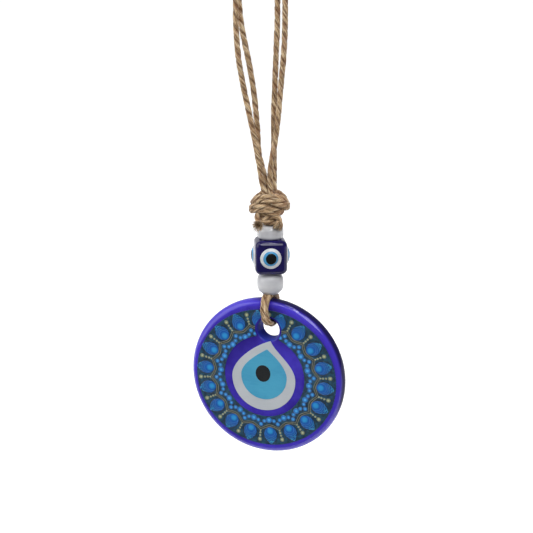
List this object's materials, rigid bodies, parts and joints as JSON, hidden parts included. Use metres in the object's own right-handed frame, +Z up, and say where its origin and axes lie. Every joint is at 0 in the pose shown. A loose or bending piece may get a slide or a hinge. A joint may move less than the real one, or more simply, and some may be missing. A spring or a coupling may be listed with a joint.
{
  "type": "evil eye hanging ornament",
  "caption": "Round glass disc with a printed eye and dot pattern, hung below a cube bead and white beads on knotted twine loops, for hanging on a wall or in a doorway.",
  "frame": {"origin": "where a peg or hook holds the two twine loops, at the inside of their round tops and straight above the beads' axis", "axes": "+Z up along the hanging line, -Y the way the disc's printed face looks, +X to the right of someone who looks at the printed face"},
  "size_m": [0.07, 0.0195, 0.232],
  "materials": {
    "jute_twine": "fuzzy two-ply natural jute",
    "white_glass": "opaque white glass, glossy",
    "navy_glass": "opaque navy glass, glossy",
    "eye_white": "fused white glass dot, glossy",
    "eye_iris": "fused light blue glass dot, glossy",
    "eye_pupil": "fused black glass dot, glossy",
    "cobalt_glass": "deep cobalt glass, fire-polished",
    "mandala_print": "printed dot pattern under a clear gloss coat",
    "white_enamel": "printed under a clear gloss coat",
    "blue_enamel": "printed under a clear gloss coat",
    "black_enamel": "printed under a clear gloss coat"
  },
  "bodies": {
    "hanger": {"loop_front": "jute_twine", "loop_back": "jute_twine"},
    "knot": {"knot_core": "jute_twine", "knot_upper_wrap": "jute_twine", "knot_lower_wrap": "jute_twine", "cut_end_left": "jute_twine", "cut_end_right": "jute_twine", "bead_strand_front_left": "jute_twine", "bead_strand_front_right": "jute_twine", "bead_strand_back_left": "jute_twine", "bead_strand_back_right": "jute_twine"},
    "upper_bead": {"upper_white_bead": "white_glass"},
    "cube": {"cube_bead": "navy_glass", "front_eye_white": "eye_white", "front_eye_iris": "eye_iris", "front_eye_pupil": "eye_pupil", "right_eye_white": "eye_white", "right_eye_iris": "eye_iris", "right_eye_pupil": "eye_pupil", "back_eye_white": "eye_white", "back_eye_iris": "eye_iris", "back_eye_pupil": "eye_pupil", "left_eye_white": "eye_white", "left_eye_iris": "eye_iris", "left_eye_pupil": "eye_pupil"},
    "lower_bead": {"lower_white_bead": "white_glass"},
    "bight": {"disc_bight_left": "jute_twine", "disc_bight_right": "jute_twine"},
    "disc": {"glass_disc": "cobalt_glass", "mandala_film": "mandala_print", "eye_white_drop": "white_enamel", "eye_blue_drop": "blue_enamel", "eye_pupil_spot": "black_enamel"}
  },
  "joints": [
    {"name": "pendant_twist", "type": "hinge", "parent": "hanger", "child": "knot", "pos_m": [0, 0, -0.113], "axis": [0, 0, 1], "range_deg": [-40, 40]},
    {"name": "upper_bead_spin", "type": "hinge", "parent": "knot", "child": "upper_bead", "pos_m": [0, 0, -0.12935], "axis": [0, 0, 1], "continuous": true},
    {"name": "cube_spin", "type": "hinge", "parent": "knot", "child": "cube", "pos_m": [0, 0, -0.1399], "axis": [0, 0, 1], "continuous": true},
    {"name": "lower_bead_spin", "type": "hinge", "parent": "knot", "child": "lower_bead", "pos_m": [0, 0, -0.1519], "axis": [0, 0, 1], "continuous": true},
    {"name": "disc_tilt", "type": "hinge", "parent": "knot", "child": "bight", "pos_m": [0, 0, -0.1562], "axis": [1, 0, 0], "range_deg": [-22, 22], "deforming": ["disc_bight_left", "disc_bight_right"]},
    {"name": "disc_rock", "type": "hinge", "parent": "bight", "child": "disc", "pos_m": [0.00045, 0, -0.1695], "axis": [0, 1, 0], "range_deg": [-25, 25]}
  ]
}
